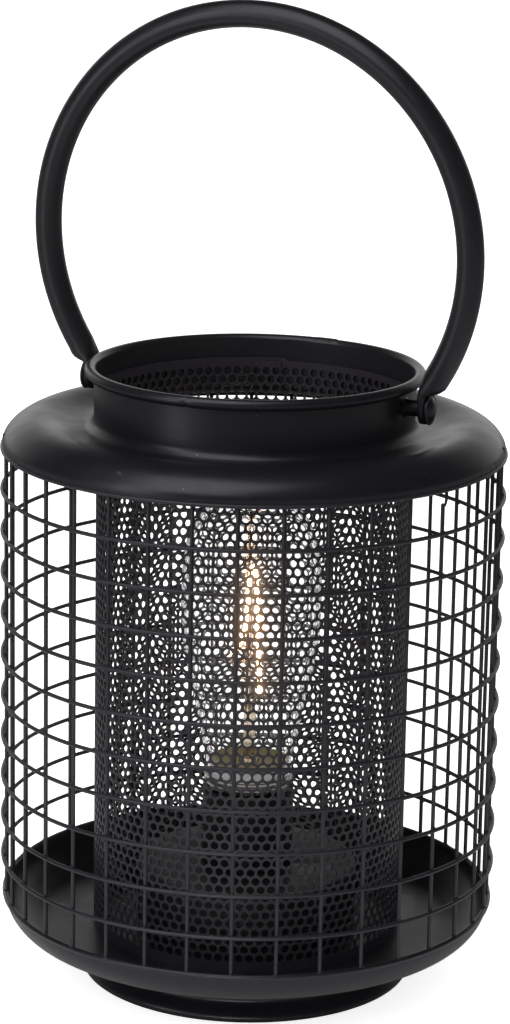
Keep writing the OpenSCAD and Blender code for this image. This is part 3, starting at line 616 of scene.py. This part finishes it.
handle = {"bendR": 99.5, "rise": 66.17, "tubeR": 5.9, "endH": 14.0, "plateX": (77.9, 81.3), "plateR": 6.5,
          "lean": 3.38, "sides": 32,
          "squeeze": [((78.9, 14.6), (88.6, 9.2), 2.2), ((78.3, 12.4), (86.9, 8.0), 2.6),
                      ((78.0, 10.4), (84.6, 7.3), 3.2), ((77.9, 8.8), (82.6, 7.0), 4.0),
                      ((77.9, 7.6), (81.4, 6.7), 5.0)]}


# One ring of the handle: from its inner to its outer point, with a half width along Y and a squareness
def handleRing(inner, outer, halfW, power):
    (x0, h0), (x1, h1) = inner, outer
    ring = []
    for k in range(handle["sides"]):
        a = tau * k / handle["sides"]
        c, n = math.cos(a), math.sin(a)
        u = math.copysign(abs(c) ** (2 / power), c) / 2
        v = math.copysign(abs(n) ** (2 / power), n) * halfW
        ring.append(((x0 + x1) / 2 + (x1 - x0) * u, v, (h0 + h1) / 2 + (h1 - h0) * u))
    return ring


def buildHandle():
    f = handle
    rings = []
    x0, x1 = f["plateX"]
    for i in range(12):
        turn = math.radians(86 - 86 * i / 11)
        h = -f["plateR"] * math.sin(turn)
        rings.append(handleRing((x0, h), (x1, h), f["plateR"] * math.cos(turn), 5.0))
    for h in (2.0, 4.5, 6.2):
        rings.append(handleRing((x0, h), (x1, h), f["plateR"], 5.0))
    squeeze = f["squeeze"][::-1]
    for i, (inner, outer, power) in enumerate(squeeze):
        halfW = f["plateR"] - 0.5 * (i + 1) / (len(squeeze) + 1)
        rings.append(handleRing(inner, outer, halfW, power))
    start = math.asin((f["endH"] - f["rise"]) / f["bendR"])
    steps = 96
    for i in range(steps // 2 + 1):
        a = start + (math.pi / 2 - start) * i / (steps // 2)
        c, n = math.cos(a), math.sin(a)
        inner, outer = f["bendR"] - f["tubeR"], f["bendR"] + f["tubeR"]
        rings.append(handleRing((inner * c, f["rise"] + inner * n), (outer * c, f["rise"] + outer * n),
                                f["tubeR"], 2.0))
    for ring in rings[-2::-1]:
        rings.append([(-x, y, z) for x, y, z in ring])
    verts = [v for ring in rings for v in ring]
    sides = f["sides"]
    faces = [tuple(range(sides)), tuple(len(verts) - 1 - k for k in range(sides))]
    for i in range(len(rings) - 1):
        for k in range(sides):
            n = (k + 1) % sides
            faces.append((i * sides + k, (i + 1) * sides + k, (i + 1) * sides + n, i * sides + n))
    lean = Matrix.Translation((0, 0, pivotZ)) @ Matrix.Rotation(math.radians(f["lean"]), 4, "X")
    makePiece("handleTube", *moved((verts, faces), lean), "black_coat", "bail", ["handle"], sharpAngle=50)


def onPivots(outline):
    verts, faces = spin(outline, 48, closed=False)
    right = [(z, x, y + pivotZ) for x, y, z in verts]
    left = [(-x, y, z) for x, y, z in right]
    return joined([(right, faces), (left, [face[::-1] for face in faces])])


pivot = {"bossR": 3.5, "bossX": (70.3, 77.6), "weldR": 1.2, "shankR": 2.5, "headX": 81.6, "headR": 6.7,
         "headH": 2.6, "edgeR": 0.5}


def buildPivots():
    f = pivot
    x0, x1 = f["bossX"]
    root = f["bossR"] + f["weldR"]
    boss = [(root, x0)] + arcPoints((root, x0 + 0.4 + f["weldR"]), (f["weldR"], f["weldR"]), 270, 180, 6)
    boss += [(f["bossR"], x1 - 0.3), (f["bossR"] - 0.3, x1), (0, x1)]
    makePiece("pivotBosses", *onPivots(boss), "black_coat", "lamp", ["pivot_bosses"])
    headX, headR, edgeR = f["headX"], f["headR"], f["edgeR"]
    domeR = (headR ** 2 + f["headH"] ** 2) / (2 * f["headH"])
    top = headX + f["headH"]
    screw = [(0, x1 - 0.4), (f["shankR"], x1 - 0.4), (f["shankR"], headX), (headR - edgeR / 2, headX)]
    screw += arcPoints((headR - edgeR, headX + edgeR), (edgeR, edgeR), -60, 45, 6)
    for i in range(1, 13):
        r = (headR - edgeR) * (1 - i / 12)
        screw.append((r, min(top, top - domeR + math.sqrt(domeR ** 2 - r ** 2))))
    makePiece("pivotScrews", *onPivots(screw), "black_coat", "lamp", ["pivot_screws"], sharpAngle=50)


buildHandle()
buildPivots()
print("handle done")


cage = {"uprights": 36, "farFrom": 25, "farShift": 4, "rings": 11, "pitch": 18.8, "sides": 12, "blobR": 1.25,
        "broken": 34, "brokenZ": 235.5, "spikes": (-152.5, 13.5),
        "lumps": [(-138, 3, 1.5), (-116, 3, 1.2), (-112, 3, 1.0), (-99, 2.5, 0.8), (-80, 2.5, 0.7),
                  (-35, 2.5, 0.7), (-5, 3.5, 2.2), (1, 4, 2.4), (4, 4, 2.6), (7, 3, 1.8)],
        "tornRadii": [1.1, 0.95, 0.85, 0.8, 0.75, 0.7, 0.65, 0.6, 0.5, 0.4]}


def blob(centre, radii, angle):
    mesh = bmesh.new()
    bmesh.ops.create_icosphere(mesh, subdivisions=2, radius=1)
    turn = Matrix.Translation(centre) @ Matrix.Rotation(angle, 4, "Z") @ Matrix.Diagonal((*radii, 1))
    verts = [turn @ v.co for v in mesh.verts]
    faces = [tuple(v.index for v in f.verts) for f in mesh.faces]
    mesh.free()
    return verts, faces


def polar(radius, angle, z):
    a = math.radians(angle)
    return (radius * math.cos(a), radius * math.sin(a), z)


# Lumps of weld along the cap's edge, the torn end of one upright, and two spikes that stand out at the sides
def capWelds(rng):
    edge = capLow[2]
    skirtR = capHigh[0]
    lumps = []
    for angle, width, height in cage["lumps"]:
        for _ in range(4):
            at = angle + rng.uniform(-0.5, 0.5) * width / 1.9
            size = rng.uniform(0.5, 1.0)
            centre = polar(skirtR - 0.35 * size, at, edge + rng.uniform(0.1, 1.0) * height)
            radii = (0.55 * size, width * 0.45 * size, height * 0.5 * size)
            lumps.append(blob(centre, radii, math.radians(at)))
    for angle in cage["spikes"]:
        points = [polar(skirtR - 0.9, angle, edge), polar(skirtR - 0.5, angle + 0.3, edge + 2.5),
                  polar(skirtR - 0.6, angle + 0.1, edge + 5)]
        lumps.append(sweep(points, [0.8, 0.6, 0.25], 8, (1, 0, 0)))
    angle = 360 * cage["broken"] / cage["uprights"]
    torn = [polar(cageR, angle + 0.9, edge + 0.5), polar(cageR + 0.2, angle + 1.0, edge - 2.5),
            polar(cageR + 0.9, angle + 0.5, edge - 5.5),
            polar(cageR + 0.8, angle + 0.1, cage["brokenZ"] - 1.2)]
    lumps.append(sweep(smoothPath(torn, 3), cage["tornRadii"], 8, (1, 0, 0)))
    return lumps


def buildCage():
    rng = random.Random(5)
    uprights, rings, welds = [], [], []
    topRing = ringHigh[2] - wireR
    angles = []
    for k in range(cage["uprights"]):
        angle = 360 * k / cage["uprights"]
        far = cage["farFrom"] < angle < cage["farFrom"] + 180
        angles.append(math.radians(angle + (cage["farShift"] if far else 0)))
    for k, a in enumerate(angles):
        x, y = cageR * math.cos(a), cageR * math.sin(a)
        tip = uprightHigh[2] - rng.uniform(0.0, 0.8)
        if k == cage["broken"]:
            tip = cage["brokenZ"]
        points = [(x, y, uprightLow[2]), (x, y, topRing * 0.5), (x, y, tip - 0.4), (x, y, tip)]
        uprights.append(sweep(points, [wireR, wireR, wireR, wireR * 0.7], cage["sides"], (1, 0, 0)))
        onLip = (lipR * math.cos(a), lipR * math.sin(a), lipZ + lipTubeR - 0.3)
        welds.append(blob(onLip, (1.1, 1.5, 0.5), a))
        beside = (lipR + 0.9, rng.uniform(-0.5, 0.5), lipZ - 0.2)
        size = rng.uniform(0.25, 0.45)
        centre = Matrix.Rotation(a, 4, "Z") @ Vector(beside)
        welds.append(blob(centre, (size, 2 * size, size), a))
    for n in range(cage["rings"]):
        z = topRing - n * cage["pitch"]
        rings.append(spin(ringOutline((ringR, z), wireR, cage["sides"]), 216))
        for a in angles:
            r = (cageR + ringR) / 2
            size = cage["blobR"] * rng.uniform(0.8, 1.1)
            centre = (r * math.cos(a), r * math.sin(a), z + rng.uniform(-0.15, 0.15))
            welds.append(blob(centre, (0.75 * size, size, size), a))
    welds.extend(capWelds(rng))
    makePiece("cageUprights", *joined(uprights), "black_wire", "lamp", ["cage_uprights"])
    makePiece("cageRings", *joined(rings), "black_wire", "lamp", ["cage_rings"])
    makePiece("cageWelds", *joined(welds), "black_wire", "lamp")


buildCage()
print("cage done")


sleeve = {"sheet": 0.8, "columns": 96, "rows": 60, "rowPitch": 3.96, "holeR": 1.83, "firstRow": 28.0,
          "phase": 0.54, "seamColumn": 27, "lapColumns": 3, "seamDrop": 1.5}


# Perforated sheet, as a closed sleeve or as a strip of it. Each hole sits in a hexagonal cell, whose
# twelve border points it shares with its neighbours
def perforated(outerR, firstColumn, columnCount, topEdge):
    s = sleeve
    innerR = outerR - s["sheet"]
    pitch = tau / s["columns"]
    rowH = s["rowPitch"]
    closed = columnCount == s["columns"]
    verts, faces, shared = [], [], {}

    def wall(u, z):
        a = u * pitch
        base = len(verts)
        verts.append((outerR * math.cos(a), outerR * math.sin(a), z))
        verts.append((innerR * math.cos(a), innerR * math.sin(a), z))
        return base

    def border(u, z):
        key = (round((u - s["phase"]) * 12) % (12 * s["columns"]), round(z * 60))
        if key not in shared:
            shared[key] = wall(u, z)
        return shared[key]

    def quad(a, b, c, d):
        faces.append((a, b, c, d))
        faces.append((d + 1, c + 1, b + 1, a + 1))

    cellW = sleeveHigh[0] * pitch
    corner = [(0.5, 1 / 3), (0.25, 0.5), (0, 2 / 3), (-0.25, 0.5), (-0.5, 1 / 3), (-0.5, 0),
              (-0.5, -1 / 3), (-0.25, -0.5), (0, -2 / 3), (0.25, -0.5), (0.5, -1 / 3), (0.5, 0)]
    for row in range(s["rows"]):
        z = s["firstRow"] + row * rowH
        for column in range(firstColumn, firstColumn + columnCount):
            u = column + 0.5 * (row % 2) + s["phase"]
            edge = [border(u + du, z + dz * rowH) for du, dz in corner]
            hole = []
            for du, dz in corner:
                size = math.hypot(du * cellW, dz * rowH)
                hole.append(wall(u + du * s["holeR"] / size, z + dz * rowH * s["holeR"] / size))
            for k in range(12):
                n = (k + 1) % 12
                quad(edge[k], edge[n], hole[n], hole[k])
                faces.append((hole[k], hole[n], hole[n] + 1, hole[k] + 1))
    # Plain margins join the zigzag of cells to the straight edges
    for row, sign in ((0, -1), (s["rows"] - 1, 1)):
        zRow = s["firstRow"] + row * rowH
        line = []
        for column in range(firstColumn, firstColumn + columnCount):
            u = column + 0.5 * (row % 2) + s["phase"]
            for du, dz in ((-0.5, 1 / 3), (-0.25, 0.5), (0, 2 / 3), (0.25, 0.5)):
                z0 = sleeveLow[2] if sign < 0 else topEdge(u + du)
                line.append((border(u + du, zRow + sign * dz * rowH), wall(u + du, z0)))
        for k in range(len(line) if closed else len(line) - 1):
            near, far = line[k]
            nearNext, farNext = line[(k + 1) % len(line)]
            if sign < 0:
                quad(far, farNext, nearNext, near)
            else:
                quad(near, nearNext, farNext, far)
            rimFace = (far, farNext, farNext + 1, far + 1)
            faces.append(rimFace[:1] + rimFace[:0:-1] if sign < 0 else rimFace)
    return verts, faces


# The sheet's two ends overlap at the back, and the inner one sits lower
def buildSleeve():
    s = sleeve

    def topEdge(u):
        return sleeveHigh[2] - s["seamDrop"] * ((u - s["seamColumn"]) % s["columns"]) / s["columns"]

    def lowEdge(u):
        return sleeveHigh[2] - s["seamDrop"]

    body = perforated(sleeveHigh[0], 0, s["columns"], topEdge)
    lap = perforated(sleeveHigh[0] - s["sheet"] - 0.02, s["seamColumn"], s["lapColumns"], lowEdge)
    # The sleeve's finish is the black coat lightened as painted light
    makePiece("sleeveMesh", *joined([body, lap]), "black_coat", "lamp", ["perforated_sleeve"],
              finish="sleeve_coat_painted_light")


buildSleeve()
print("sleeve done")


bulb = {"wall": 0.9, "beadR": 0.4, "beadZ": (87.6, 90.2), "coreTop": 96.0, "collarTop": 90.5, "coreR": 17.8,
        "discR": 18.2, "discZ": (96.0, 97.0), "stemR": 2.6,
        "form": [(19.35, 74), (19.35, 85), (19.35, 97), (19.7, 101), (21.2, 105.5), (23.4, 117.6),
                 (26, 129.8), (28.9, 143), (30.6, 154), (31.3, 166), (31.3, 178), (30.9, 187),
                 (29.2, 198), (25.8, 206.5), (21.5, 212.5), (16.5, 216.8), (11, 219.6), (5.5, 221),
                 (0.02, 221.4)]}


def buildBulb():
    f = bulb
    path = [(v[0], v[2]) for v in smoothPath([(r, 0, z) for r, z in f["form"]], 5)]
    glass = spin(sheetOutline(path, f["wall"]), 128)
    makePiece("bulbGlass", *glass, "clear_glass", "lamp", ["bulb_glass"])
    beads = [spin(ringOutline((f["form"][0][0] + f["beadR"], z), f["beadR"], 12), 128) for z in f["beadZ"]]
    # Their pale finish is a painted highlight
    makePiece("neckBeads", *joined(beads), "clear_glass", "lamp", finish="bead_glass_painted_highlight")
    low = glassLow[2]
    coreR, collarTop = f["coreR"], f["collarTop"]
    collar = [(coreR - 2, low), (coreR, low), (coreR, collarTop), (coreR - 2, collarTop)]
    makePiece("coreCollar", *spin(collar, 96), "holder_plastic", "lamp")
    top = f["coreTop"]
    white = [(coreR - 2, collarTop), (coreR - 0.2, collarTop)]
    white += arcPoints((coreR - 1, top - 1), (0.8, 0.9), 0, 90, 6) + [(1.5, top), (1.5, top - 1)]
    makePiece("coreCup", *spin(white, 96), "white_plastic", "lamp", ["bulb_core"])
    z0, z1 = f["discZ"]
    disc = [(f["stemR"] - 0.2, z0), (f["discR"] - 0.3, z0)]
    disc += arcPoints((f["discR"] - 0.5, (z0 + z1) / 2), (0.5, (z1 - z0) / 2), -60, 90, 8)
    disc += [(f["discR"] - 2.2, z1 - 0.15), (f["stemR"] + 3, z1 - 0.25), (f["stemR"] - 0.2, z1 - 0.1)]
    makePiece("goldDisc", *spin(disc, 128), "gold_metal", "lamp", ["gold_plate"])


holder = {"edgeR": 0.7, "lipH": 1.4, "lipDrop": 0.25, "wall": 1.0, "seatDepth": 11.0}


def buildHolder():
    f = holder
    radius, low, top, edgeR = holderHigh[0], holderLow[2], holderHigh[2], f["edgeR"]
    inner = radius - f["wall"]
    outline = [(5.0, low), (radius - 0.4, low), (radius, low + 0.4), (radius, top - f["lipH"] - 0.3)]
    outline += [(radius - f["lipDrop"], top - f["lipH"] - 0.1),
                (radius - f["lipDrop"], top - f["lipH"] + 0.1), (radius, top - f["lipH"] + 0.3)]
    outline += arcPoints((radius - edgeR / 2, top - edgeR / 2), (edgeR / 2, edgeR / 2), 0, 180, 8)[:-1]
    outline += [(inner, top - edgeR / 2), (inner, top - f["seatDepth"]), (inner - 3.5, top - f["seatDepth"]),
                (inner - 3.5, low + 2), (5.0, low + 2)]
    makePiece("lampHolder", *spin(outline, 96), "holder_plastic", "lamp", ["lamp_holder"], sharpAngle=40)


buildBulb()
buildHolder()
print("bulb done")


def buildCamera():
    data = bpy.data.cameras.new("camera")
    data.sensor_width = view["sensorW"]
    data.lens = view["focalPixels"] * view["sensorW"] / view["imageH"]
    camera = bpy.data.objects.new("camera", data)
    bpy.context.collection.objects.link(camera)
    camera.matrix_world = viewMatrix()
    bpy.context.scene.camera = camera


def addArea(name, place, target, size, power, spread):
    data = bpy.data.lights.new(name, "AREA")
    data.shape = "RECTANGLE"
    data.size, data.size_y = size
    data.energy = power
    data.spread = math.radians(spread)
    light = bpy.data.objects.new(name, data)
    light.location = place
    light.rotation_euler = (Vector(target) - Vector(place)).to_track_quat("-Z", "Y").to_euler()
    bpy.context.collection.objects.link(light)


# Each area light: its place for turned(), its target, its size, its power and its spread
areaLights = {"frontLeft": ((-1.25, -0.9, 0.5), (0, 0, 0.2), (0.45, 1.1), 4.0, 180),
              "overhead": ((-0.38, -0.56, 1.15), (0, 0, 0.2), (0.9, 1.15), 7.0, 180),
              "lowFill": ((-0.1, -0.55, 0.1), (0, 0, 0.02), (0.8, 0.1), 0.11, 40)}
studio = {"floorR": 6000, "floorGlow": 0.7, "sheetEnd": (0.3, 0.6), "sheetGloss": 0.62, "floorGloss": 0.25,
          "world": 1.06, "front": 0.01, "back": 1.0, "halo": (0.5, 0.92), "tall": (0.3, 0.52),
          "ceiling": 0.55, "ceilingRise": (0.25, 0.95),
          "lampPower": 0.1, "lampColour": (1.0, 0.55, 0.22), "lampR": 0.012}


# A white room for the eye and for soft light. The gloss sees it bright behind the lamp only, as with
# black flags
def buildLights():
    for name, (place, target, size, power, spread) in areaLights.items():
        addArea(name, turned(*place), target, size, power, spread)
    glow = bpy.data.lights.new("filamentLight", "POINT")
    glow.energy = studio["lampPower"]
    glow.color = studio["lampColour"]
    glow.shadow_soft_size = studio["lampR"]
    light = bpy.data.objects.new("filamentLight", glow)
    light.location = (0, 0, (glassLow[2] + glassHigh[2]) / 2 * mm)
    light.visible_camera = light.visible_glossy = light.visible_transmission = False
    bpy.context.collection.objects.link(light)
    world = bpy.data.worlds.new("studio")
    t = emptyTree(world)
    glossy = mirrored(t)
    sight = t.node("ShaderNodeTexCoord").outputs["Generated"]
    facing = t.node("ShaderNodeVectorMath", {0: sight, 1: turned(0, 1, 0)},
                    operation="DOT_PRODUCT").outputs["Value"]
    rise = t.node("ShaderNodeSeparateXYZ", {0: sight}).outputs["Z"]
    low, high = studio["halo"]
    behind = t.ramp(facing, [(low, 0.0), (high, 1.0)])
    low, high = studio["tall"]
    below = t.ramp(rise, [(low, 1.0), (high, 0.0)])
    gloss = t.scaled(t.math("MULTIPLY", behind, below), studio["back"], studio["front"])
    # Overhead the room is dimmer, but glass and the camera see it evenly white
    low, high = studio["ceilingRise"]
    ceiling = t.ramp(rise, [(low, 1.0), (high, studio["ceiling"])])
    rays = t.node("ShaderNodeLightPath").outputs
    direct = t.math("MAXIMUM", rays["Is Camera Ray"], rays["Is Transmission Ray"])
    soft = t.math("MULTIPLY", t.math("MAXIMUM", ceiling, direct), studio["world"])
    power = t.node("ShaderNodeMix", {0: glossy, 2: soft, 3: gloss}).outputs[0]
    background = t.node("ShaderNodeBackground", {"Color": (1, 1, 1, 1), "Strength": power})
    t.node("ShaderNodeOutputWorld", {"Surface": background.outputs[0]})
    bpy.context.scene.world = world


def buildFloor():
    # Open inside the foot, so that the underside gets light and can be looked at from below
    mesh = bpy.data.meshes.new("floor")
    verts, faces = spin([(foot["neckR"], 0), (studio["floorR"], 0)], 96, closed=False)
    mesh.from_pydata([Vector(v) * mm for v in verts], [], faces)
    if mesh.polygons[0].normal.z < 0:
        mesh.flip_normals()
    floor = bpy.data.objects.new("floor", mesh)
    bpy.context.collection.objects.link(floor)
    material = bpy.data.materials.new("paleFloor")
    t = emptyTree(material)
    rays = t.node("ShaderNodeLightPath").outputs
    seen = t.math("MAXIMUM", rays["Is Camera Ray"], rays["Is Transmission Ray"])
    glow = t.math("MULTIPLY", seen, studio["floorGlow"])
    # In the gloss the floor is a white sheet that ends some way out
    away = t.node("ShaderNodeVectorMath", {0: t.node("ShaderNodeTexCoord").outputs["Object"]},
                  operation="LENGTH").outputs["Value"]
    near, far = studio["sheetEnd"]
    sheet = t.ramp(away, [(near, studio["sheetGloss"]), (far, studio["floorGloss"])])
    colour = t.node("ShaderNodeMix", {0: mirrored(t), 6: (0.9, 0.9, 0.9, 1), 7: sheet},
                    data_type="RGBA").outputs[2]
    # Seen from below the floor isn't there
    front = t.math("SUBTRACT", 1.0, t.node("ShaderNodeNewGeometry").outputs["Backfacing"])
    principled = t.node("ShaderNodeBsdfPrincipled", {
        "Base Color": colour, "Roughness": 0.9, "Specular IOR Level": 0.0, "Alpha": front,
        "Emission Color": (1, 1, 1, 1), "Emission Strength": glow})
    t.node("ShaderNodeOutputMaterial", {"Surface": principled.outputs[0]})
    mesh.materials.append(material)


buildCamera()
buildLights()
buildFloor()
bpy.context.scene.view_settings.view_transform = "Standard"


bloom = {"Threshold": 1.6, "Smoothness": 0.4, "Strength": 0.45, "Size": 0.12}


# The camera's own bloom round the filament
def buildBloom():
    t = emptyTree(bpy.context.scene)
    image = t.node("CompositorNodeRLayers").outputs["Image"]
    glare = t.node("CompositorNodeGlare", {"Image": image, **bloom}, glare_type="BLOOM", quality="HIGH")
    t.node("CompositorNodeComposite", {"Image": glare.outputs["Image"]})


buildBloom()
print("stage done")
